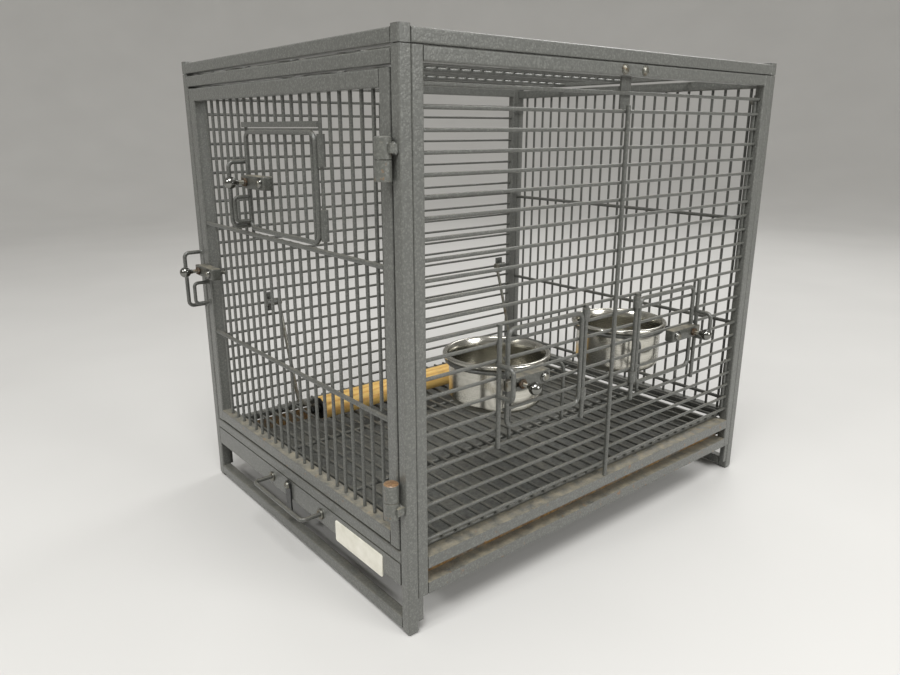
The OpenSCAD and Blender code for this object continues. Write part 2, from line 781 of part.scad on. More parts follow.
module access_hood() color("gray") on_front(acc_left, door_bar_y - bar_d / 2, access_z) hood();
module access_hood_screw() color("silver") on_front(acc_left, door_bar_y - bar_d / 2, access_z) hood_screw();
module access_bolt() color("silver") on_front(acc_left, door_bar_y - bar_d / 2, access_z) bolt();

module feeder_1_hood() color("gray") on_side(feed_keep_1, 1, feed_latch_z) hood();
module feeder_1_hood_screw() color("silver") on_side(feed_keep_1, 1, feed_latch_z) hood_screw();
module feeder_1_bolt() color("silver") on_side(feed_keep_1, 1, feed_latch_z) bolt();

module feeder_2_hood() color("gray") on_side(feed_keep_2, -1, feed_latch_z) hood();
module feeder_2_hood_screw() color("silver") on_side(feed_keep_2, -1, feed_latch_z) hood_screw();
module feeder_2_bolt() color("silver") on_side(feed_keep_2, -1, feed_latch_z) bolt();

// ---- Feeder doors and cups ----

// Feeder door, drawn with its hinge at y = 0 and its latch stile towards dir
module feeder_door(dir) {
    reach = feeder_span - stile_gap;
    wire_y0 = feed_sleeve_r + rod_d / 2 - weld_sink;
    w = reach - wire_y0;
    mirror([0, dir > 0 ? 0 : 1, 0]) {
        translate([0, wire_y0, feed_low]) rotate([0, 0, 90]) wire_frame(w, feed_high - feed_low, rod_d, 7);
        for (i = [cut_bar_low + 1 : cut_bar_high])
            translate([side_bar_x - side_rod_x, wire_y0 - 1, side_bar_z(i)]) wire_y(bar_d, w + 2);
        for (i = [cut_bar_low, cut_bar_high])
            translate([0, 0, side_bar_z(i) + (side_pitch - feed_sleeve_h) / 2]) difference() {
                cylinder(r = feed_sleeve_r, h = feed_sleeve_h);
                translate([0, 0, -1]) cylinder(r = rod_d / 2 + hinge_clear, h = feed_sleeve_h + 2);
            }
    }
}

module feeder_1_door() color("gray") translate([side_rod_x, feed_hinge_1, 0]) feeder_door(-1);
module feeder_2_door() color("gray") translate([side_rod_x, feed_hinge_2, 0]) feeder_door(1);

// Holder ring with two legs down to the bar under the feeder opening
module cup_ring() {
    leg_y = 33;
    leg_d = bar_d + 0.2;
    leg_x = side_bar_x - (bar_d + leg_d) / 2 - 0.6;
    leg_0 = cup_x + sqrt(ring_r * ring_r - leg_y * leg_y);
    root_z = side_bar_z(cut_bar_low - 1);
    r = 5;
    translate([cup_x, 0, ring_z]) rotate_extrude() translate([ring_r, 0]) circle(d = rod_d);
    for (y = [-leg_y, leg_y]) {
        translate([leg_x - r, y, ring_z]) mirror([1, 0, 0]) wire_x(leg_d, leg_x - leg_0 - r);
        translate([leg_x - r, y, ring_z - r]) rotate([90, 0, 0]) bend(leg_d, r);
        translate([leg_x, y, ring_z - r]) mirror([0, 0, 1]) wire_z(leg_d, ring_z - r - root_z + 3);
        translate([leg_x, y, root_z]) wire_x(bar_d - 0.4, side_bar_x - leg_x - 1);
    }
}

module cup_rings() {
    color("gray") for (y = [feeder_1_y, feeder_2_y]) translate([0, y_mid + y, 0]) cup_ring();
}

// Straight-sided cup with a rounded foot and a rolled rim
module cup() {
    foot_r = 10;
    z0 = cup_top - cup_h;
    translate([cup_x, 0, z0]) rotate_extrude() difference() {
        union() {
            square([cup_r - foot_r, foot_r]);
            translate([0, foot_r]) square([cup_r, cup_h - foot_r - rim]);
            translate([cup_r - foot_r, foot_r]) circle(foot_r);
            translate([0, cup_h - 2 * rim]) square([cup_rim_d / 2 - rim, rim]);
            translate([cup_rim_d / 2 - rim, cup_h - rim]) circle(rim);
        }
        translate([-1, cup_wall]) square([cup_r - foot_r + 1, cup_h]);
        translate([0, foot_r]) square([cup_r - cup_wall, cup_h]);
        translate([cup_r - foot_r, foot_r]) circle(foot_r - cup_wall);
        translate([-cup_r, 0]) square([cup_r, cup_h]);
    }
}

module cup_1() color("silver") translate([0, y_mid + feeder_1_y, 0]) cup();
module cup_2() color("silver") translate([0, y_mid + feeder_2_y, 0]) cup();

// ---- Perch ----

module perch() {
    color("burlywood") translate([perch_x, perch_y - perch_l / 2, perch_z]) wire_y(perch_d, perch_l);
}

// Bent wire arms from the pivots down to the ends of the perch
module perch_arms() {
    dx = 34;
    dz = perch_pivot_z - perch_z;
    lean = atan2(dx, dz);
    color("silver") for (e = [[arm_front, -1], [arm_back, 1]]) translate([pivot_x, e[0], perch_pivot_z]) {
        translate([0, e[1] > 0 ? 1 : -1 - pin_l, 0]) wire_y(rod_d, pin_l);
        translate([0, -eye_t / 2, 0]) wire_y(8, eye_t);
        rotate([0, 180 - lean, 0]) wire_z(rod_d, norm([dx, dz]));
        translate([dx, 0, -dz]) sphere(d = rod_d + 0.8);
        translate([dx, 0, -dz]) wire_x(rod_d, perch_x - pivot_x - dx - 4);
        translate([perch_x - pivot_x, 0, -dz]) rotate([90, 0, 0]) difference() {
            cylinder(d = 13, h = rod_d - 1, center = true);
            cylinder(d = 5, h = 10, center = true);
        }
    }
}

// Washers, screws and wing-nut bodies at the two ends of the perch
module perch_fittings() {
    nut_h = 3;
    washer_h = 2;
    color("silver") for (s = [-1, 1])
        translate([perch_x, perch_y + s * perch_l / 2, perch_z]) rotate([-90 * s, 0, 0]) {
            cylinder(d = perch_d - 3, h = washer_h);
            cylinder(d = 4.8, h = arm_gap + rod_d + nut_h);
            translate([0, 0, washer_h]) cylinder(d = 10, h = arm_gap - washer_h);
            translate([0, 0, arm_gap + rod_d]) cylinder(d = 9, h = nut_h, $fn = 6);
        }
}

// Clamp blocks on the far side panel that carry the arms' pivots
module perch_clamps() {
    w = 12;
    h = 22;
    x0 = x_left + bars_back + bar_d / 2;
    color("gray") for (e = [[arm_front, -1], [arm_back, 1]])
        translate([0, e[0] + e[1] * (eye_t / 2 + 0.5) - (e[1] > 0 ? 0 : w), perch_pivot_z]) {
            difference() {
                translate([x0, 0, -h / 2]) cube([w, w, h]);
                translate([pivot_x, -1, 0]) wire_y(rod_d + 2 * hinge_clear, w + 2);
            }
            for (z = [-7.5, 7.5]) translate([x0 + w - 1, w / 2, z]) wire_x(6, 3);
        }
}

corner_posts();
side_posts();
front_rails();
back_rails();
right_rails();
left_rails();
roof_rails();
roof_corners();
roof_grille();
feet();
corner_clips();
clip_bolts();
back_grille();
left_grille();
right_grille_long();
right_grille_short();
right_middle_rod();
top_strap();
strap_screws();
floor_grate();
tray_pan();
tray_front();
tray_handle();
tray_plate();
tray_latch();
tray_latch_screw();
door_stiles();
door_rails();
door_bars_lower();
door_bars_upper();
access_header();
post_knuckles();
door_knuckles();
hinge_pins();
door_keeper();
door_staple();
access_door();
access_keeper();
feeder_keepers();
feeder_1_door();
feeder_2_door();
door_hood();
access_hood();
feeder_1_hood();
feeder_2_hood();
door_hood_screw();
access_hood_screw();
feeder_1_hood_screw();
feeder_2_hood_screw();
door_bolt();
access_bolt();
feeder_1_bolt();
feeder_2_bolt();
cup_rings();
cup_1();
cup_2();
perch();
perch_arms();
perch_fittings();
perch_clamps();
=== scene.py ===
# %% [markdown]
# # A wire travel cage in hammertone grey
# The cage is a box of square steel tube with welded wire panels. A hinged front door holds a
# smaller access door, two feeder doors open on the right, and every door has a sliding latch
# with a chromed ball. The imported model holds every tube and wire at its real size. This lesson
# gives those pieces their finishes, makes the small formed pieces that a lathe or a press makes,
# such as the cups, latches, screws and the perch, and lights the whole on a pale floor.

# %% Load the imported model
import json
import math
import random

import bmesh
import bpy
from mathutils import Matrix, Vector, noise

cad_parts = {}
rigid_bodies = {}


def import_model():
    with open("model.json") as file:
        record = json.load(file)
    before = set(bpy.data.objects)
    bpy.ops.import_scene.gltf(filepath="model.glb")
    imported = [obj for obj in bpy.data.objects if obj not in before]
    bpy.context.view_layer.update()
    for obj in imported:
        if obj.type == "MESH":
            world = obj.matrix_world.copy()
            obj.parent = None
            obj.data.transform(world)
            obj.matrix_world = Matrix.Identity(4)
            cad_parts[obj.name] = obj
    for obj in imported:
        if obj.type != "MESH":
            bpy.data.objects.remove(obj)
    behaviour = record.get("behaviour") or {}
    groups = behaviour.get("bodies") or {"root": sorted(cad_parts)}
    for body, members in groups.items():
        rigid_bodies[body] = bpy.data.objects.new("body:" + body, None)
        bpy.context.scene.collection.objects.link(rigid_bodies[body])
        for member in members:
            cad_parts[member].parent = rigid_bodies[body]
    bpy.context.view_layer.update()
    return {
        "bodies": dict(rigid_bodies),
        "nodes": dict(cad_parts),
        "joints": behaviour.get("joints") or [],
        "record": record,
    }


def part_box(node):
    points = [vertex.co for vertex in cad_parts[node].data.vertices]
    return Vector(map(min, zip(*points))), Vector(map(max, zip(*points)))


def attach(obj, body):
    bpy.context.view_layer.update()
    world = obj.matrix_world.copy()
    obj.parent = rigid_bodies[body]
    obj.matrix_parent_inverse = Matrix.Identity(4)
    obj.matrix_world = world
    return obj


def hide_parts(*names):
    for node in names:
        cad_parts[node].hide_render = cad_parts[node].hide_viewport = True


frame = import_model()
nodes = frame["nodes"]
MM = 0.001

# %% [markdown]
# ## The camera
# A camera placed where a person kneels in front of a table sees the front door on the left and
# the feeder side on the right. Its place is counted from the middle of the cage, on the floor,
# so it stays right if the latch knobs change the outline.

# %% Camera
post_low, post_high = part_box("corner_posts")
cage_x = (post_low.x + post_high.x) / 2
cage_y = (post_low.y + post_high.y) / 2

FROM_CAGE = Vector((0.5823, -0.5240, 0.390))
LOOKS_DOWN = 16.14
TURNED = 50.42
FOCAL_MM = 28.9
camera_data = bpy.data.cameras.new("camera")
camera_data.sensor_width = 36.0
camera_data.lens = FOCAL_MM
camera = bpy.data.objects.new("camera", camera_data)
camera.location = Vector((cage_x, cage_y, 0)) + FROM_CAGE
camera.rotation_euler = (math.radians(90 - LOOKS_DOWN), 0, math.radians(TURNED))
bpy.context.collection.objects.link(camera)
bpy.context.scene.camera = camera
print("camera at", [round(v, 3) for v in camera.location])

# %% [markdown]
# ## Colours and nodes
# Hex colours are stored for a screen, and the renderer works in linear light, so one function
# turns the first into the second. A second function adds any shader node with its settings and
# links, so every material below reads as a short list of what it is made of.

# %% Helpers for materials
def linear(hex_colour):
    """Screen colour such as "#8a8b8c" as linear RGBA."""
    channels = [int(hex_colour[i:i + 2], 16) / 255 for i in (1, 3, 5)]
    return tuple(c / 12.92 if c <= 0.04045 else ((c + 0.055) / 1.055) ** 2.4 for c in channels) + (1.0,)


def add(tree, kind, inputs=None, **settings):
    """Adds a shader node, sets its settings, and sets or links its inputs."""
    node = tree.nodes.new("ShaderNode" + kind)
    for name, value in settings.items():
        setattr(node, name, value)
    for name, value in (inputs or {}).items():
        if isinstance(value, bpy.types.NodeSocket):
            tree.links.new(value, node.inputs[name])
        else:
            node.inputs[name].default_value = value
    return node


def per_metre(size_mm):
    """Pattern scale that makes one cell this many millimetres wide."""
    return 1.0 / (size_mm * MM)


def ramp(tree, factor, stops):
    """Colour ramp over (position, colour or grey) stops."""
    node = add(tree, "ValToRGB", {"Fac": factor})
    while len(node.color_ramp.elements) < len(stops):
        node.color_ramp.elements.new(0.5)
    for element, (position, colour) in zip(node.color_ramp.elements, stops):
        element.position = position
        element.color = (colour, colour, colour, 1) if isinstance(colour, (int, float)) else colour
    return node.outputs["Color"]


def new_material(name):
    """An empty node material with its shader and its object coordinates."""
    material = bpy.data.materials.new(name)
    material.use_nodes = True
    tree = material.node_tree
    tree.nodes.clear()
    shader = add(tree, "BsdfPrincipled")
    add(tree, "OutputMaterial", {"Surface": shader.outputs["BSDF"]})
    return material, tree, shader, add(tree, "TexCoord")


def spots(tree, place, size_mm, start, full, amount=1.0):
    """Ragged patches of about this size: 0 between them, amount inside them."""
    cloud = add(tree, "TexNoise", {"Vector": place.outputs["Object"], "Scale": per_metre(size_mm),
                                   "Detail": 8.0, "Roughness": 0.68})
    return ramp(tree, cloud.outputs["Fac"], [(start, 0.0), (full, amount)])


def over(tree, factor, below, above):
    """One colour laid over another where factor says."""
    return add(tree, "MixRGB", {"Fac": factor, "Color1": below, "Color2": above}).outputs["Color"]

# %% [markdown]
# ## Hammertone powder coat
# The frames are steel tube under a hammertone powder coat: a grey enamel that draws itself
# together in the oven into dimples about two millimetres wide. The eye sees a fine mottle of
# light and dark grey, soft gloss, and a broken bright line along every rounded corner. Dimples
# are cells, so a Voronoi pattern gives them, and noise breaks up their edges. Years of use leave
# tan dust on whatever faces up, and rust where the coat is chipped, so the coat takes an amount
# of each, and a height that they stay below on the lowest rails.

# %% Hammertone
def dust_mask(tree, place, amount, patch_mm=11.0):
    """0 to 1: where dust lies. It needs a surface that faces up, and it lies in patches."""
    up = add(tree, "SeparateXYZ", {"Vector": place.outputs["Normal"]}).outputs["Z"]
    facing = add(tree, "MapRange", {"Value": up, "From Min": 0.45, "From Max": 0.95})
    lies = spots(tree, place, patch_mm, 0.34, 0.66, amount)
    return add(tree, "Math", {0: facing.outputs["Result"], 1: lies}, operation="MULTIPLY").outputs[0]


def only_below(tree, place, mask, height_mm, fade_mm=40):
    """Keeps a mask below a height and fades it out above that."""
    height = add(tree, "SeparateXYZ", {"Vector": place.outputs["Object"]}).outputs["Z"]
    low = add(tree, "MapRange", {"Value": height, "From Min": height_mm * MM,
                                 "From Max": (height_mm + fade_mm) * MM, "To Min": 1.0, "To Max": 0.0})
    return add(tree, "Math", {0: mask, 1: low.outputs["Result"]}, operation="MULTIPLY").outputs[0]


DRIFT_MM = 3.0
BEND_MM = 1.6
SPECKLE_MM = 0.9


def hammertone(name, dark, light, dust, cell_mm=1.8, depth_mm=0.28, rust=0.0, rust_mm=7.0, dirt_below=None):
    """Coat with dimples of cell_mm, and with dust and rust from 0 to 1, low down only if so asked."""
    material, tree, shader, place = new_material(name)
    at = place.outputs["Object"]
    drift = add(tree, "TexNoise", {"Vector": at, "Scale": per_metre(DRIFT_MM), "Detail": 3.0})
    bent = add(tree, "VectorMath", {0: drift.outputs["Color"], 1: (BEND_MM * MM,) * 3, 2: at},
               operation="MULTIPLY_ADD")
    cells = add(tree, "TexVoronoi", {"Vector": bent.outputs["Vector"], "Scale": per_metre(cell_mm)},
                feature="SMOOTH_F1")
    speckle = add(tree, "TexNoise", {"Vector": at, "Scale": per_metre(SPECKLE_MM), "Detail": 3.0,
                                     "Roughness": 0.6})
    mottle = add(tree, "Math", {0: cells.outputs["Distance"], 1: speckle.outputs["Fac"]}, operation="ADD")
    colour = ramp(tree, mottle.outputs[0], [(0.40, linear(light)), (0.98, linear(dark))])
    mask = dust_mask(tree, place, dust)
    if rust > 0:
        chipped = spots(tree, place, rust_mm, 0.66 - 0.2 * rust, 0.72 - 0.12 * rust)
        if dirt_below:
            chipped = only_below(tree, place, chipped, dirt_below)
        colour = over(tree, chipped, colour, linear("#80603c"))
    if dirt_below:
        mask = only_below(tree, place, mask, dirt_below)
    colour = over(tree, mask, colour, linear("#99917d"))
    tree.links.new(colour, shader.inputs["Base Color"])
    rough = add(tree, "MapRange", {"Value": mask, "To Min": 0.38, "To Max": 0.85})
    tree.links.new(rough.outputs["Result"], shader.inputs["Roughness"])
    bump = add(tree, "Bump", {"Height": mottle.outputs[0], "Strength": 0.7, "Distance": depth_mm * MM})
    tree.links.new(bump.outputs["Normal"], shader.inputs["Normal"])
    shader.inputs["Metallic"].default_value = 0.12
    shader.inputs["Coat Weight"].default_value = 0.35
    shader.inputs["Coat Roughness"].default_value = 0.18
    return material


frame_coat = hammertone("hammertone_on_frame_tube", "#5d5e5a", "#797a75", dust=0.20)
ledge_coat = hammertone("hammertone_dusty_ledge", "#5d5e5a", "#797a75", dust=0.90, rust=0.30, dirt_below=80)
wire_coat = hammertone("hammertone_on_wire", "#50514d", "#6f706b", dust=0.25, cell_mm=1.4, depth_mm=0.12)
hood_coat = hammertone("hammertone_on_latch_hood", "#464742", "#61625c", dust=0.75, rust=0.10)
chipped_coat = hammertone("hammertone_chipped_to_rust", "#5a5b56", "#787973", dust=0.9, rust=0.22,
                          rust_mm=5.0)
button_coat = hammertone("hammertone_dark_button", "#1e1f1e", "#30312f", dust=0.12)
rusted_coat = hammertone("hammertone_rusted_through", "#75573b", "#a3825d", dust=0.2)
print("hammertone coats", 7)

# %% [markdown]
# ## Plated and polished metal
# The latch balls and the screws of the latch hoods and the turn-button are chromed: a mirror, a
# little brown in the pits. The chrome's colour is set far darker than a mirror's, as a painted
# dark reflection. The other screws and the perch's arms are dull zinc, and the nuts
# rust. Noise gives the brown pits and makes the shine uneven.

# %% Plated metals
def plated(name, colour, tarnish, rough, patch_mm=6.0, tarnish_at=0.58):
    """Metal of one colour with tarnished patches, which start where the noise passes tarnish_at."""
    material, tree, shader, place = new_material(name)
    cloud = add(tree, "TexNoise", {"Vector": place.outputs["Object"], "Scale": per_metre(patch_mm),
                                   "Detail": 7.0, "Roughness": 0.65})
    where = ramp(tree, cloud.outputs["Fac"], [(tarnish_at, 0.0), (tarnish_at + 0.14, 1.0)])
    tree.links.new(over(tree, where, linear(colour), linear(tarnish)), shader.inputs["Base Color"])
    uneven = add(tree, "MapRange", {"Value": cloud.outputs["Fac"], "To Min": rough * 0.6,
                                    "To Max": rough * 1.8})
    tree.links.new(uneven.outputs["Result"], shader.inputs["Roughness"])
    grit = add(tree, "TexNoise", {"Vector": place.outputs["Object"], "Scale": per_metre(0.6), "Detail": 3.0})
    bump = add(tree, "Bump", {"Height": grit.outputs["Fac"], "Strength": 0.12, "Distance": 0.04 * MM})
    tree.links.new(bump.outputs["Normal"], shader.inputs["Normal"])
    shader.inputs["Metallic"].default_value = 1.0
    return material


# The chrome's grey colour is painted dark reflection; its brown patches are real tarnish
chrome = plated("chrome_worn_and_painted_dark_reflection", "#7f7f7b", "#5f5548", 0.10, tarnish_at=0.60)
zinc = plated("zinc_plate_dull", "#85847c", "#6a5a42", 0.34, tarnish_at=0.52)
rusty_steel = plated("steel_nut_rusting", "#6a6258", "#57402c", 0.48, patch_mm=2.5, tarnish_at=0.46)
dark_steel = plated("steel_washer_blackened", "#2e2e2d", "#4a4036", 0.42, tarnish_at=0.56)
print("plated metals", [m.name for m in (chrome, zinc, rusty_steel, dark_steel)])

# %% [markdown]
# The cups are spun stainless steel. A tool pressed against the turning disc leaves fine marks
# round the axis, which stretch every highlight, so noise squeezed along Z draws them. Old food
# leaves dull brown patches. A metal keeps the default IOR; only colour and roughness change.

# %% Spun steel
def spun_steel(name):
    """Steel with turning marks round Z and patches of dull grime."""
    material, tree, shader, place = new_material(name)
    at = place.outputs["Object"]
    # Turning marks are a few hundredths of a millimetre wide: drawn at a quarter, so that they show
    stretched = add(tree, "Mapping", {"Vector": at, "Scale": (40.0, 40.0, per_metre(0.25))})
    marks = add(tree, "TexNoise", {"Vector": stretched.outputs["Vector"], "Scale": 1.0, "Detail": 3.0})
    tone = ramp(tree, marks.outputs["Fac"], [(0.3, linear("#b3b1a8")), (0.7, linear("#d3d1c8"))])
    grime = spots(tree, place, 20.0, 0.54, 0.74, 0.65)
    tree.links.new(over(tree, grime, tone, linear("#857856")), shader.inputs["Base Color"])
    rough = add(tree, "MapRange", {"Value": grime, "To Min": 0.20, "To Max": 0.45})
    tree.links.new(rough.outputs["Result"], shader.inputs["Roughness"])
    bump = add(tree, "Bump", {"Height": marks.outputs["Fac"], "Strength": 0.10, "Distance": 0.05 * MM})
    tree.links.new(bump.outputs["Normal"], shader.inputs["Normal"])
    shader.inputs["Metallic"].default_value = 1.0
    return material


cup_steel = spun_steel("stainless_steel_spun")
print("cup metal", cup_steel.name)

# %% [markdown]
# ## Pine
# The perch is a bare turned pine rod: warm yellow, with grain that runs along it, dark late wood
# every few millimetres and grey soil where feet have held it. Rings round the rod's axis,
# stretched along it and bent by noise, are what a lathe uncovers in a real board.

# %% Pine
def pine(name):
    """Turned pine whose grain runs along Y."""
    material, tree, shader, place = new_material(name)
    at = place.outputs["Object"]
    stretched = add(tree, "Mapping", {"Vector": at, "Scale": (1.0, 0.09, 1.0)}).outputs["Vector"]
    grain = add(tree, "TexWave", {"Vector": stretched, "Scale": per_metre(22.0), "Distortion": 5.0,
                                  "Detail": 3.0, "Detail Scale": 1.4}, wave_type="RINGS", rings_direction="Y")
    late = ramp(tree, grain.outputs["Fac"], [(0.15, linear("#e2bd6c")), (0.80, linear("#d5a958")),
                                             (0.97, linear("#b98443"))])
    pores = add(tree, "TexNoise", {"Vector": stretched, "Scale": per_metre(1.2), "Detail": 5.0})
    tint = ramp(tree, pores.outputs["Fac"], [(0.3, linear("#cf9f52")), (0.7, linear("#ecca82"))])
    soiled = spots(tree, place, 24.0, 0.60, 0.82, 0.6)
    colour = over(tree, soiled, over(tree, 0.45, late, tint), linear("#857358"))
    tree.links.new(colour, shader.inputs["Base Color"])
    bump = add(tree, "Bump", {"Height": pores.outputs["Fac"], "Strength": 0.35, "Distance": 0.2 * MM})
    tree.links.new(bump.outputs["Normal"], shader.inputs["Normal"])
    shader.inputs["Roughness"].default_value = 0.6
    return material


pine_wood = pine("pine_bare_turned")
print("wood", pine_wood.name)

# %% [markdown]
# ## Tray sheet and the blank plate
# The tray is coated sheet: its floor stays grey, but its side walls, which slide in the rails,
# have rusted to brown and collected dust. The walls are the faces that look along X, so the
# surface's own direction tells the two apart. The plate on the tray's front is smooth off-white
# laminate, left blank.

# %% Tray and plate
def tray_sheet(name):
    """Grey coated sheet, rusted on the faces that look along X."""
    material, tree, shader, place = new_material(name)
    sideways = add(tree, "SeparateXYZ", {"Vector": place.outputs["Normal"]}).outputs["X"]
    wall = add(tree, "Math", {0: sideways}, operation="ABSOLUTE").outputs[0]
    fine = add(tree, "TexNoise", {"Vector": place.outputs["Object"], "Scale": per_metre(3.0), "Detail": 5.0})
    brown = ramp(tree, fine.outputs["Fac"], [(0.3, linear("#5e452c")), (0.7, linear("#937545"))])
    coat = ramp(tree, fine.outputs["Fac"], [(0.3, linear("#4b4c49")), (0.7, linear("#6d6e69"))])
    rusted = spots(tree, place, 26.0, 0.36, 0.56)
    on_wall = add(tree, "Math", {0: wall, 1: rusted}, operation="MULTIPLY").outputs[0]
    dusty = over(tree, spots(tree, place, 40.0, 0.45, 0.75, 0.35), coat, linear("#8a8471"))
    tree.links.new(over(tree, on_wall, dusty, brown), shader.inputs["Base Color"])
    bump = add(tree, "Bump", {"Height": fine.outputs["Fac"], "Strength": 0.4, "Distance": 0.25 * MM})
    tree.links.new(bump.outputs["Normal"], shader.inputs["Normal"])
    shader.inputs["Roughness"].default_value = 0.7
    return material


def laminate(name):
    """Smooth off-white plastic sheet, slightly yellowed in patches."""
    material, tree, shader, place = new_material(name)
    haze = add(tree, "TexNoise", {"Vector": place.outputs["Object"], "Scale": per_metre(12.0), "Detail": 6.0})
    tone = ramp(tree, haze.outputs["Fac"], [(0.35, linear("#d6d3c4")), (0.7, linear("#eae7db"))])
    tree.links.new(tone, shader.inputs["Base Color"])
    shader.inputs["Roughness"].default_value = 0.32
    return material


tray_steel = tray_sheet("tray_sheet_rusted_at_walls")
plate_white = laminate("laminate_off_white")
print("sheet", tray_steel.name, plate_white.name)

# %% [markdown]
# ## Which finish goes where
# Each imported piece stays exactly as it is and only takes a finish. Curved faces get smooth
# shading by angle, so round wires look round and cut edges stay sharp.

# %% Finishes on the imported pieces
SHARP = math.radians(35)
FINISH = {
    frame_coat: ["corner_posts", "front_rails", "door_stiles", "tray_front", "feet", "side_posts",
                 "back_rails", "roof_rails", "roof_corners", "corner_clips", "top_strap", "left_rails"],
    ledge_coat: ["right_rails", "door_rails"],
    hood_coat: ["door_hood", "access_hood", "feeder_1_hood", "feeder_2_hood", "perch_clamps"],
    wire_coat: ["roof_grille", "back_grille", "left_grille", "right_grille_long", "right_grille_short",
                "right_middle_rod", "floor_grate", "door_bars_lower", "door_bars_upper", "access_header",
                "door_keeper", "door_staple", "access_keeper", "feeder_keepers", "access_door",
                "feeder_1_door", "feeder_2_door", "cup_rings", "tray_handle"],
    button_coat: ["tray_latch"],
    chipped_coat: ["post_knuckles", "door_knuckles"],
    zinc: ["clip_bolts", "strap_screws", "door_hood_screw", "access_hood_screw", "feeder_1_hood_screw",
           "feeder_2_hood_screw", "tray_latch_screw", "perch_arms"],
    dark_steel: ["perch_fittings"],
    rusty_steel: ["hinge_pins"],
    chrome: ["door_bolt", "access_bolt", "feeder_1_bolt", "feeder_2_bolt"],
    cup_steel: ["cup_1", "cup_2"],
    tray_steel: ["tray_pan"],
    plate_white: ["tray_plate"],
    pine_wood: ["perch"],
}
for material, names in FINISH.items():
    for name in names:
        mesh = nodes[name].data
        mesh.materials.clear()
        mesh.materials.append(material)
        mesh.shade_smooth()
        mesh.set_sharp_from_angle(angle=SHARP)
print("finished nodes", sum(len(names) for names in FINISH.values()), "of", len(nodes))

# %% [markdown]
# ## Turned, pressed and cut pieces
# Small metal pieces come from a lathe, a press or a saw, and three helpers follow those trades.
# A lathe turns an outline round an axis, a rounded box is a bar with its edges broken, and a
# cut takes one piece out of another. Each works in a frame, a matrix that says where the piece
# is and which way its Z axis points, so one outline serves at every place on the cage. The
# lathe comes first.

# %% Frames, arcs and the lathe
def aim(at, axis):
    """Frame at a point, with its Z along axis."""
    return Matrix.Translation(at) @ Vector(axis).to_track_quat("Z", "Y").to_matrix().to_4x4()


def arc(middle, radius, start, end, steps=8):
    """Points of an arc in an outline, in degrees from +radius towards +height."""
    angles = [math.radians(start + (end - start) * i / steps) for i in range(steps + 1)]
    return [(middle[0] + radius * math.cos(a), middle[1] + radius * math.sin(a)) for a in angles]


def lathe(mesh, outline, frame, steps=48):
    """Turns (radius, height) points round the frame's Z. A radius of 0 closes an end."""
    rings = []
    for radius, height in outline:
        turns = 1 if radius == 0 else steps
        angles = [2 * math.pi * k / steps for k in range(turns)]
        rings.append([mesh.verts.new(frame @ Vector((radius * math.cos(a), radius * math.sin(a), height)))
                      for a in angles])
    for low, high in zip(rings, rings[1:]):
        for k in range(steps):
            corners = [low[k % len(low)], low[(k + 1) % len(low)],
                       high[(k + 1) % len(high)], high[k % len(high)]]
            mesh.faces.new(list(dict.fromkeys(corners)))


print("a quarter arc has", len(arc((0, 0), 1, 0, 90)), "points")

# %% [markdown]
# A bar starts as a cube between two corners, and a bevel breaks its edges to a radius.

# %% Rounded bars
def rounded_box(mesh, low, high, radius, frame, segments=3):
    """A bar between two corners with its edges broken to a radius."""
    low, high = Vector(low), Vector(high)
    size = high - low
    place = Matrix.Translation((low + high) / 2) @ Matrix.Diagonal((*size, 1))
    made = bmesh.ops.create_cube(mesh, size=1, matrix=place)["verts"]
    if radius > 0:
        edges = {edge for vertex in made for edge in vertex.link_edges}
        made = bmesh.ops.bevel(mesh, geom=list(edges), offset=radius, segments=segments, profile=0.5,
                               affect="EDGES")["verts"]
    bmesh.ops.transform(mesh, matrix=frame, verts=list(set(made)))


print("bars can be rounded")

# %% [markdown]
# The last three helpers turn a finished mesh into a piece: one makes the object, one gives it
# its finish and the body that it moves with, and one cuts other pieces out of it.

# %% Pieces
def make(name, mesh):
    """An object from a bmesh, with its faces turned outwards."""
    bmesh.ops.recalc_face_normals(mesh, faces=mesh.faces)
    data = bpy.data.meshes.new(name)
    mesh.to_mesh(data)
    mesh.free()
    piece = bpy.data.objects.new(name, data)
    bpy.context.collection.objects.link(piece)
    return piece


def dress(piece, material, body, stands_for=None):
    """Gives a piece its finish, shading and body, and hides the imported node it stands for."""
    piece.data.materials.clear()
    piece.data.materials.append(material)
    piece.data.shade_smooth()
    piece.data.set_sharp_from_angle(angle=SHARP)
    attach(piece, body)
    if stands_for:
        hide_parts(stands_for)
    return piece


def cut(piece, cutters):
    """Takes the cutters out of a piece and removes them."""
    for cutter in cutters:
        modifier = piece.modifiers.new("cut", "BOOLEAN")
        modifier.object = cutter
        modifier.solver = "EXACT"
    bpy.context.view_layer.update()
    result = bpy.data.meshes.new_from_object(piece.evaluated_get(bpy.context.evaluated_depsgraph_get()))
    piece.modifiers.clear()
    piece.data = result
    for cutter in cutters:
        bpy.data.objects.remove(cutter)
    return piece


print("pieces are smooth up to", round(math.degrees(SHARP)), "degrees")

# %% [markdown]
# ## Screws and nuts
# The hoods, the strap and the turn-button are held by pan-head screws with a cross recess, each
# on a washer. The head is turned on the lathe, and the recess is cut with two crossed bars, as
# the punch leaves it. A nut is a six-sided turning with its corners broken.

# %% Screw heads and nuts
WASHER_THICK = 0.8 * MM


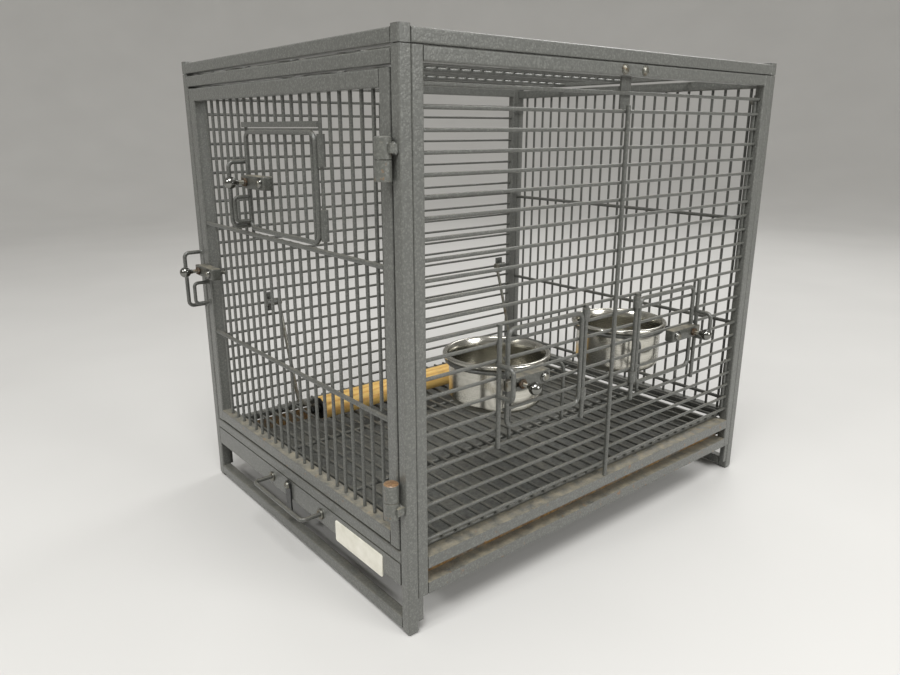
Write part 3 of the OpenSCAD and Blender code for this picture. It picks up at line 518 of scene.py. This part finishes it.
def pan_head(name, frame, radius, washer, body, material):
    """A washer and a pan head with its cross recess, standing along the frame's Z."""
    thick = WASHER_THICK
    domed = 0.42 * radius
    tall = domed + thick
    disc = [(0, 0), (washer - 0.2 * MM, 0), (washer, 0.2 * MM), (washer, thick - 0.2 * MM),
            (washer - 0.25 * MM, thick), (radius, thick)]
    dome = [(radius * math.cos(a), thick + domed * math.sin(a) ** 0.8)
            for a in [math.radians(d) for d in (8, 20, 35, 50, 65, 80)]]
    mesh = bmesh.new()
    lathe(mesh, disc + dome + [(0, tall)], frame)
    head = make(name, mesh)
    bars = []
    for turn in (20, 110):
        bar = bmesh.new()
        half = Vector((radius * 0.62, radius * 0.13, radius * 0.35))
        turned = Matrix.Rotation(math.radians(turn), 4, "Z")
        rounded_box(bar, -half, half, 0, frame @ Matrix.Translation((0, 0, tall)) @ turned)
        bars.append(make(name + "_punch", bar))
    return dress(cut(head, bars), material, body)


def nut(mesh, frame, across, height, bore):
    """A six-sided nut with its corners broken at both faces."""
    broken = 0.92 * across
    edge = 0.16 * height
    lathe(mesh, [(bore, 0), (broken, 0), (across, edge), (across, height - edge), (broken, height),
                 (bore, height)], frame, steps=6)
    lathe(mesh, [(bore, 0), (bore, height)], frame, steps=24)


def node_middle(name):
    low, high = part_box(name)
    return (low + high) / 2


HEAD_SUNK = 2.1 * MM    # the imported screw's plain head, which the shaped one covers
STRAP_SCREW_R = 4 * MM
strap_low, strap_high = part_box("strap_screws")
strap_z = node_middle("strap_screws").z
for number, y in enumerate((strap_low.y + STRAP_SCREW_R, strap_high.y - STRAP_SCREW_R), start=1):
    place = aim((strap_high.x - HEAD_SUNK, y, strap_z), (1, 0, 0))
    pan_head(f"strap_screw_head_{number}", place, 3.7 * MM, 4.3 * MM, "cage", zinc)
screw_at = node_middle("tray_latch_screw")
screw_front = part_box("tray_latch_screw")[0].y
place = aim((screw_at.x, screw_front + 2.2 * MM, screw_at.z), (0, -1, 0))
pan_head("turn_button_screw_head", place, 3.6 * MM, 4.0 * MM, "tray", chrome)
print("screws for the strap and the turn-button")

# %% [markdown]
# ## Sliding latches
# All four latches are alike: a pressed sheet hood, open towards the keeper, with a slot for the
# stem; inside it a flat bar that slides; and on the bar a threaded stem with a nut and a chromed
# ball to pull by. The hood is a rounded box, cut hollow. The slot, the bar and the stem share
# one frame per latch, whose X runs along the hood and whose Y points outwards.

# %% Where the latches are
def latch_frame(hood, along, out):
    """Frame at the middle of a hood's open end, on its base. X runs along it and Y outwards."""
    low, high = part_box(hood)
    corner = [low[i] if along[i] + out[i] > 0 else high[i] for i in range(2)]
    columns = Matrix((along, out, (0, 0, 1))).transposed().to_4x4()
    return Matrix.Translation((corner[0], corner[1], (low.z + high.z) / 2)) @ columns


LATCHES = {
    "door": ((1, 0, 0), (0, -1, 0), "main_door", "door_bolt", "door_bolt"),
    "access": ((1, 0, 0), (0, -1, 0), "access_door", "access_bolt", "access_bolt"),
    "feeder_1": ((0, 1, 0), (1, 0, 0), "feeder_door_1", "feeder_bolt_1", "feeder_1_bolt"),
    "feeder_2": ((0, -1, 0), (1, 0, 0), "feeder_door_2", "feeder_bolt_2", "feeder_2_bolt"),
}
HOOD = Vector((40, 10, 12)) * MM
HOOD_SHEET = 1.2 * MM
STEM_IN_HOOD = 6.0 * MM
STEM_R = 2.0 * MM
PITCH = 0.8 * MM
BAR_LOW = Vector((-8.8, 4.0, -4.45)) * MM
BAR_HIGH = Vector((23.0, 8.45, 4.45)) * MM
BALL_R = 5.5 * MM
BALL_OUT = 25.0 * MM
print("latches", list(LATCHES))

# %% [markdown]
# The hood is pressed from one sheet: a rounded box, hollowed from its open end, with a
# round-ended slot where the stem runs.

# %% Latch hood
def pressed_hood(name, frame):
    """A hollow hood of sheet with a slot for the stem."""
    mesh = bmesh.new()
    rounded_box(mesh, (0, 0, -HOOD.z / 2), (HOOD.x, HOOD.y, HOOD.z / 2), 1.5 * MM, frame, segments=4)
    hood = make(name, mesh)
    inside = bmesh.new()
    rounded_box(inside, (-1 * MM, HOOD_SHEET, HOOD_SHEET - HOOD.z / 2),
                (HOOD.x - HOOD_SHEET, HOOD.y - HOOD_SHEET, HOOD.z / 2 - HOOD_SHEET), 0, frame)
    slot = bmesh.new()
    rounded_box(slot, (-2 * MM, HOOD_SHEET + 1 * MM, -2.4 * MM),
                (STEM_IN_HOOD + 2.3 * MM, HOOD.y + 1 * MM, 2.4 * MM), 2.2 * MM, frame, segments=4)
    return cut(hood, [make(name + "_inside", inside), make(name + "_slot", slot)])


print("hood", [round(side / MM) for side in HOOD], "mm")

# %% [markdown]
# The stem, its nut and the ball share one axis, which stands out of the hood, so all three are
# turned on it. The thread is drawn as rings, because its slope is too slight to see.

# %% Latch stem, nut and ball
def stem_and_ball(name, frame, body):
    """Threaded stem with its nut, and the ball with a turned collar under it."""
    upright = frame @ Matrix.Translation((STEM_IN_HOOD, 0, 0)) @ Matrix.Rotation(math.radians(-90), 4, "X")
    thread = [(0, 8.0 * MM)]
    for turn in range(13):
        crest = 8.2 * MM + PITCH * turn
        thread += [(STEM_R, crest), (STEM_R - 0.28 * MM, crest + PITCH / 2)]
    mesh = bmesh.new()
    lathe(mesh, thread + [(STEM_R, 19.2 * MM), (0, 19.4 * MM)], upright, steps=24)
    dress(make(name + "_stem", mesh), zinc, body)
    mesh = bmesh.new()
    nut(mesh, upright @ Matrix.Translation((0, 0, 10.4 * MM)), 4.2 * MM, 2.5 * MM, STEM_R)
    dress(make(name + "_nut", mesh), rusty_steel, body)
    mesh = bmesh.new()
    collar = [(0, 17.6 * MM), (2.1 * MM, 17.7 * MM), (2.3 * MM, 18.0 * MM), (2.3 * MM, 19.4 * MM)]
    ball = arc((0, BALL_OUT), BALL_R, -62, 90, 26)
    lathe(mesh, collar + ball[:-1] + [(0, BALL_OUT + BALL_R)], upright)
    dress(make(name + "_ball", mesh), chrome, body)


print("ball", round(2 * BALL_R / MM), "mm")

# %% [markdown]
# Then each latch gets its pieces. The hood rides on its door; the bar, the stem, the nut and the
# ball ride on the bolt that slides in it.

# %% The four latches
for latch, (along, out, body, bolt_body, bolt_node) in LATCHES.items():
    place = latch_frame(latch + "_hood", along, out)
    dress(pressed_hood(latch + "_pressed_hood", place), hood_coat, body, latch + "_hood")
    mesh = bmesh.new()
    rounded_box(mesh, BAR_LOW, BAR_HIGH, 0.5 * MM, place)
    dress(make(latch + "_sliding_bar", mesh), zinc, bolt_body, bolt_node)
    stem_and_ball(latch, place, bolt_body)
    middle = node_middle(latch + "_hood_screw")
    on_top = place @ Vector((0, HOOD.y, 0))
    at = (middle.x, on_top.y, middle.z) if out[1] else (on_top.x, middle.y, middle.z)
    pan_head(latch + "_hood_screw_head", aim(at, out), 4.1 * MM, 4.9 * MM, body, chrome)
print("latches", len(LATCHES))

# %% [markdown]
# ## Steel cups
# A feeding cup is spun from one disc of thin stainless steel: a flat foot with a shallow raised
# middle, a tight curve up to an upright wall, and an edge that flares and rolls over into a
# bead. The whole section is one closed outline, the outside going up and the inside coming
# down, so the lathe makes a wall of real thickness with a smooth roll.

# %% Cups
CUP_SHEET = 0.9 * MM
RIM_R = 2.4 * MM
WALL_IN = 5.9 * MM
FLARE = 11 * MM
for number in (1, 2):
    low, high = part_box(f"cup_{number}")
    edge_r = (high.x - low.x) / 2
    wall_r = edge_r - WALL_IN
    tall = high.z - low.z
    foot = 9 * MM
    rim_at = (edge_r - RIM_R, tall - RIM_R)
    outside = [(0, 1.2 * MM), (wall_r - 17 * MM, 1.2 * MM), (wall_r - 14 * MM, 0.2 * MM),
               (wall_r - 12.5 * MM, 0)] + arc((wall_r - foot, foot), foot, -90, 0, 12)
    outside += [(wall_r, tall - FLARE), (wall_r + 0.2 * MM, tall - 8 * MM),
                (wall_r + 1.2 * MM, tall - 5.6 * MM)]
    rolled = arc(rim_at, RIM_R, -90, 165, 22)
    inside = [(wall_r + 0.3 * MM, tall - 3.4 * MM), (wall_r - 0.5 * MM, tall - 6.5 * MM),
              (wall_r - CUP_SHEET, tall - FLARE)]
    inside += arc((wall_r - foot, foot), foot - CUP_SHEET, 0, -90, 12)
    inside += [(wall_r - 12.5 * MM, CUP_SHEET), (wall_r - 14 * MM, 1.1 * MM), (wall_r - 17 * MM, 2.1 * MM),
               (0, 2.1 * MM)]
    mesh = bmesh.new()
    middle = (low + high) / 2
    lathe(mesh, outside + rolled + inside, Matrix.Translation((middle.x, middle.y, low.z)), steps=128)
    dress(make(f"spun_cup_{number}", mesh), cup_steel, f"cup_{number}", f"cup_{number}")
print("cups of", round(edge_r * 2 / MM), "mm over the rim")

# %% [markdown]
# ## The perch
# The perch is a turned rod of pine. Turning leaves it slightly out of round, and the bird has
# bitten its edges, so the rod is turned in many rings whose radius wanders with noise, and short
# bites are pressed into it near the ends and along its top.

# %% Perch
random.seed(11)
low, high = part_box("perch")
perch_r = (high.x - low.x) / 2
perch_l = high.y - low.y
perch_at = Vector(((low.x + high.x) / 2, low.y, (low.z + high.z) / 2))
bites = [(random.choice((random.uniform(3, 30), random.uniform(290, 329), random.uniform(60, 270))) * MM,
          math.radians(random.uniform(20, 200)), random.uniform(0.8, 2.0) * MM, random.uniform(3, 7) * MM)
         for _ in range(34)]
mesh = bmesh.new()
STEPS = 72
edge = 1.2 * MM
stations = [0, 0.4 * MM, edge] + [edge + (perch_l - 2 * edge) * i / 150 for i in range(1, 150)]
stations += [perch_l - edge, perch_l - 0.4 * MM, perch_l]
rings = []
for along in stations:
    from_end = min(along, perch_l - along)
    broken = 0.7 * MM * max(0.0, 1 - from_end / edge) ** 2
    ring = []
    for k in range(STEPS):
        angle = 2 * math.pi * k / STEPS
        wander = noise.noise(Vector((math.cos(angle) * 1.2, math.sin(angle) * 1.2, along / (40 * MM))))
        radius = perch_r - 0.45 * MM + 0.35 * MM * wander - broken
        for place, turn, depth, size in bites:
            around = (angle - turn + math.pi) % (2 * math.pi) - math.pi
            away = math.hypot((along - place) / size, around * perch_r / (0.6 * size))
            radius -= depth * max(0.0, 1 - away * away)
        point = Vector((radius * math.cos(angle), along, radius * math.sin(angle)))
        ring.append(mesh.verts.new(perch_at + point))
    rings.append(ring)
for ring, after in zip(rings, rings[1:]):
    for k in range(STEPS):
        mesh.faces.new((ring[k], ring[(k + 1) % STEPS], after[(k + 1) % STEPS], after[k]))
mesh.faces.new(rings[0])
mesh.faces.new(rings[-1])
dress(make("turned_perch", mesh), pine_wood, "perch", "perch")
print("perch", round(perch_r * 2 / MM, 1), "mm, bites", len(bites))

# %% [markdown]
# A wide blackened washer and a bolt with a nut hold each end of the rod to its arm.

# %% Fittings at the perch's ends
for number, (end_y, way) in enumerate(((low.y, -1), (high.y, 1)), start=1):
    place = aim((perch_at.x, end_y, perch_at.z), (0, way, 0))
    mesh = bmesh.new()
    lathe(mesh, [(0, 0), (11.4 * MM, 0), (12 * MM, 0.5 * MM), (12 * MM, 1.5 * MM), (11.4 * MM, 2 * MM),
                 (5.2 * MM, 2 * MM), (5 * MM, 2.2 * MM), (5 * MM, 4.8 * MM), (4.6 * MM, 5 * MM), (0, 5 * MM)],
          place, steps=64)
    nut(mesh, place @ Matrix.Translation((0, 0, 9 * MM)), 4.5 * MM, 3 * MM, 2.4 * MM)
    lathe(mesh, [(0, 4 * MM), (2.4 * MM, 4 * MM), (2.4 * MM, 11.6 * MM), (2.0 * MM, 12 * MM), (0, 12 * MM)],
          place, steps=24)
    stands_for = "perch_fittings" if number == 1 else None
    dress(make(f"perch_end_fitting_{number}", mesh), dark_steel, "perch", stands_for)
print("fittings", 2)

# %% [markdown]
# The arms turn in two clamps on the far side panel: a small pressed plate with a sleeve for the
# pivot and two hexagon bolts that pinch the panel's bars behind it.

# %% Perch clamps
low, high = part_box("perch_clamps")
CLAMP_W = 12 * MM
PLATE = 2.5 * MM
pivot_x = low.x + 7 * MM
pivot_z = (low.z + high.z) / 2
for number, start in enumerate((low.y, high.y - CLAMP_W), start=1):
    mesh = bmesh.new()
    flat = Matrix.Identity(4)
    rounded_box(mesh, (low.x, start, low.z), (low.x + PLATE, start + CLAMP_W, high.z), 1.0 * MM, flat)
    rounded_box(mesh, (low.x + 1 * MM, start + 2.5 * MM, pivot_z - 3.4 * MM),
                (pivot_x, start + CLAMP_W - 2.5 * MM, pivot_z + 3.4 * MM), 0.8 * MM, flat)
    lathe(mesh, [(2.1 * MM, 0), (3.9 * MM, 0), (4.2 * MM, 0.4 * MM), (4.2 * MM, 11.6 * MM),
                 (3.9 * MM, CLAMP_W), (2.1 * MM, CLAMP_W)], aim((pivot_x, start, pivot_z), (0, 1, 0)))
    for z in (low.z + 4 * MM, high.z - 4 * MM):
        bolt_at = aim((low.x + PLATE, start + CLAMP_W / 2, z), (1, 0, 0))
        nut(mesh, bolt_at, 3.2 * MM, 2.4 * MM, 0.6 * MM)
        lathe(mesh, [(0, 1.9 * MM), (1.3 * MM, 1.9 * MM), (1.3 * MM, 3.4 * MM), (0, 3.6 * MM)],
              bolt_at, steps=16)
    stands_for = "perch_clamps" if number == 1 else None
    dress(make(f"perch_clamp_{number}", mesh), wire_coat, "cage", stands_for)
print("perch clamps", 2)

# %% [markdown]
# ## Weld beads
# Everything here is welded. Where two wires cross, resistance welding squeezes out a small lump;
# where a loop's foot meets a tube, a torch leaves a lumpy ring; and a hinge barrel hangs on a
# thick blob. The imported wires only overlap, so the lumps are made here: each is a small ball or
# ring whose surface is pushed about by noise. The bars' places are read from the ends of the
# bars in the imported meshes.

# %% Weld helpers
def places(name, across, along):
    """Middles of a panel's bars, read from the vertices at the bars' lower ends."""
    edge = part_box(name)[0][along]
    ends = sorted(v.co[across] for v in nodes[name].data.vertices if abs(v.co[along] - edge) < 0.1 * MM)
    groups = [[ends[0]]]
    for value in ends[1:]:
        if value - groups[-1][-1] > 2.5 * MM:
            groups.append([])
        groups[-1].append(value)
    return [(group[0] + group[-1]) / 2 for group in groups]


def lump(mesh, at, size):
    """A small uneven ball of weld metal, size giving its half widths along X, Y and Z."""
    made = bmesh.ops.create_icosphere(mesh, subdivisions=2, radius=1)["verts"]
    for vertex in made:
        push = 1 + 0.28 * noise.noise(vertex.co * 1.7 + Vector(at) * 900)
        vertex.co = Vector(at) + Vector([c * s * push for c, s in zip(vertex.co, size)])


def bead_ring(mesh, frame, radius, thick):
    """A lumpy ring of weld round a wire's foot."""
    around, across = 28, 8
    origin = frame.translation * 900
    rings = []
    for i in range(around):
        a = 2 * math.pi * i / around
        wobble = 1 + 0.35 * noise.noise(origin + Vector((math.cos(a) * 2, math.sin(a) * 2, 0)))
        rings.append([mesh.verts.new(frame @ Vector((
            (radius + thick * wobble * math.cos(b)) * math.cos(a),
            (radius + thick * wobble * math.cos(b)) * math.sin(a),
            thick * wobble * math.sin(b)))) for b in [2 * math.pi * j / across for j in range(across)]])
    for i in range(around):
        for j in range(across):
            ring, after = rings[i], rings[(i + 1) % around]
            mesh.faces.new((ring[j], after[j], after[(j + 1) % across], ring[(j + 1) % across]))


print("roof bars", len(places("roof_grille", 0, 1)))

# %% [markdown]
# Crossings come first: the door's bars with its two cross rods, the back panel, the roof, the
# floor grate and the side panels. Every lump lies between the bar and the rod.

# %% Welds where wires cross
def crossing_welds(name, points, size, body):
    mesh = bmesh.new()
    for point in points:
        lump(mesh, point, size)
    return dress(make(name, mesh), wire_coat, body)


LUMP = 1.9 * MM
THIN = 2.6 * MM
DEEP = 3 * MM    # from a panel's face to the middle of its crossings
X, Y, Z = 0, 1, 2
door_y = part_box("door_bars_lower")[1].y - DEEP
door_bars = places("door_bars_lower", X, Z)
door_rods = places("door_bars_lower", Z, X)
crossing_welds("door_crossing_welds", [(x, door_y, z) for x in door_bars for z in door_rods],
               (LUMP, THIN, LUMP), "main_door")
back_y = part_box("back_grille")[1].y - DEEP
back_rods = places("back_grille", Z, X)
crossing_welds("back_crossing_welds", [(x, back_y, z) for x in places("back_grille", X, Z)
                                       for z in back_rods], (LUMP, THIN, LUMP), "cage")
for panel, name in (("roof_grille", "roof_crossing_welds"), ("floor_grate", "grate_crossing_welds")):
    panel_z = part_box(panel)[1].z - DEEP
    crossing_welds(name, [(x, y, panel_z) for x in places(panel, X, Y) for y in places(panel, Y, X)],
                   (LUMP, LUMP, THIN), "cage")
side_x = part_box("right_grille_short")[0].x + DEEP
side_bars = places("right_grille_short", Z, Y)
crossing_welds("feeder_upright_welds", [(side_x, y, z) for y in places("right_grille_short", Y, Z)
                                        for z in side_bars], (THIN, LUMP, LUMP), "cage")
long_bars = places("right_grille_long", Z, Y) + side_bars
rod_low, rod_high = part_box("right_middle_rod")
rod_y = node_middle("right_middle_rod").y
crossing_welds("middle_rod_welds", [(side_x, rod_y, z) for z in long_bars if rod_low.z < z < rod_high.z],
               (THIN, LUMP, LUMP), "cage")
left_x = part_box("left_grille")[1].x - DEEP
crossing_welds("left_rod_welds", [(left_x, cage_y, z) for z in places("left_grille", Z, Y)],
               (THIN, LUMP, LUMP), "cage")
print("door bars", len(door_bars), "cross rods", len(door_rods), "side bars", len(long_bars))

# %% [markdown]
# A bead of weld goes round each foot of the keeper loops and the pull loop.

# %% Welds at loops
BEAD_OUT = 1.3 * MM    # in front of the wire's hidden end


def foot_welds(name, node, body, wire_r=2.0 * MM):
    """A bead round each of the two feet of a loop that stands out in front."""
    low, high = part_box(node)
    mesh = bmesh.new()
    for z in (low.z + wire_r, high.z - wire_r):
        foot = aim(((low.x + high.x) / 2, high.y - BEAD_OUT, z), (0, -1, 0))
        bead_ring(mesh, foot, wire_r + 0.2 * MM, 0.9 * MM)
    return dress(make(name, mesh), frame_coat, body)


foot_welds("door_keeper_welds", "door_keeper", "cage")
foot_welds("door_pull_welds", "door_staple", "main_door", wire_r=1.75 * MM)
foot_welds("access_keeper_welds", "access_keeper", "main_door")
print("loops welded", 3)

# %% [markdown]
# The hinge barrels hang on thick blobs, which catch bright glints. A flat cap of weld closes
# each barrel, and the lower one has rusted. The tray's handle stands on washers.

# %% Hinges and tray handle
def heights_of(name):
    """Every height at which a node has a vertex, from low to high."""
    return sorted({round(v.co.z, 5) for v in nodes[name].data.vertices})


BARREL_HALF = 7 * MM
barrel_x, barrel_y, _ = node_middle("hinge_pins")
for node, body, way in (("post_knuckles", "cage", 1), ("door_knuckles", "main_door", -1)):
    mesh = bmesh.new()
    heights = heights_of(node)
    for z in (heights[0] + BARREL_HALF, heights[-1] - BARREL_HALF):
        lump(mesh, (barrel_x + way * 4.6 * MM, barrel_y + 5.0 * MM, z), (4.0 * MM, 2.2 * MM, 4.2 * MM))
        lump(mesh, (barrel_x + way * 6.5 * MM, barrel_y + 5.2 * MM, z - 2 * MM),
             (2.6 * MM, 1.8 * MM, 2.6 * MM))
    dress(make(node + "_weld_blobs", mesh), frame_coat, body)

# The pins end a little below the tops of their barrels
pin_heights = heights_of("hinge_pins")
PIN_SUNK = 0.5 * MM
for name, pin_top, coat, body in (("lower_hinge_cap", pin_heights[1], rusted_coat, "main_door"),
                                  ("upper_hinge_cap", pin_heights[-1], frame_coat, "cage")):
    mesh = bmesh.new()
    lathe(mesh, [(0, -0.2 * MM), (5.3 * MM, -0.2 * MM), (5.75 * MM, 0), (5.3 * MM, 0.5 * MM),
                 (3 * MM, 0.9 * MM), (0, 1.0 * MM)], aim((barrel_x, barrel_y, pin_top + PIN_SUNK), (0, 0, 1)))
    dress(make(name, mesh), coat, body)

handle_low, handle_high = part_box("tray_handle")
mesh = bmesh.new()
for x in (handle_low.x + 4 * MM, handle_high.x - 4 * MM):
    place = aim((x, handle_high.y, (handle_low.z + handle_high.z) / 2), (0, -1, 0))
    lathe(mesh, [(2.2 * MM, 0), (4.7 * MM, 0), (5 * MM, 0.3 * MM), (5 * MM, 1.5 * MM), (4.6 * MM, 1.9 * MM),
                 (2.4 * MM, 1.9 * MM), (2.2 * MM, 1.6 * MM)], place)
dress(make("tray_handle_washers", mesh), zinc, "tray")
print("hinge caps", 2, "handle washers", 2)

# %% [markdown]
# ## Floor
# A sheet of pale paper, laid flat and curved up to a wall, has no edge to distract the eye. Here
# it is round, so the cage looks the same from every side.

# %% Floor
def sweep_floor():
    """A round floor that curves up all the way round, so it is the same from every side."""
    flat, bend = 2.6, 2.4    # metres
    mesh = bmesh.new()
    lathe(mesh, [(0, 0)] + arc((flat, bend), bend, -90, 0, 24), Matrix.Identity(4), steps=96)
    floor = make("floor", mesh)
    floor.data.shade_smooth()
    material, tree, shader, place = new_material("paper_sweep_pale")
    fibre = add(tree, "TexNoise", {"Vector": place.outputs["Object"], "Scale": per_metre(300.0)})
    tone = ramp(tree, fibre.outputs["Fac"], [(0.3, linear("#c6c5c2")), (0.7, linear("#cac9c6"))])
    tree.links.new(tone, shader.inputs["Base Color"])
    shader.inputs["Roughness"].default_value = 0.8
    floor.data.materials.append(material)
    return floor


floor = sweep_floor()
print("floor", floor.name)

# %% [markdown]
# ## Light
# A large soft light stands high in front, weaker ones at the side and behind, and a small one
# puts a glint on the rounded corners. A light sky keeps the wires readable and the mottled coat
# soft.

# %% Lights
def soft_light(name, place, size, power):
    """A round area light that looks at the middle of the cage."""
    data = bpy.data.lights.new(name, "AREA")
    data.shape = "DISK"
    data.size = size
    data.energy = power
    light = bpy.data.objects.new(name, data)
    light.location = place
    light.rotation_euler = (Vector((0, 0, 0.2)) - Vector(place)).to_track_quat("-Z", "Y").to_euler()
    bpy.context.collection.objects.link(light)


soft_light("key", (0.9, -0.9, 2.3), 1.3, 46)
soft_light("side", (2.1, 0.5, 1.2), 1.1, 24)
soft_light("rim", (-0.5, 1.8, 1.9), 1.2, 16)
soft_light("window", (0.1, -1.9, 1.4), 0.3, 12)
world = bpy.data.worlds.new("studio")
world.use_nodes = True
sky = world.node_tree.nodes["Background"]
sky.inputs["Color"].default_value = linear("#eceae6")
sky.inputs["Strength"].default_value = 0.55
bpy.context.scene.world = world
bpy.context.scene.view_settings.view_transform = "Standard"
print("lights", 4)
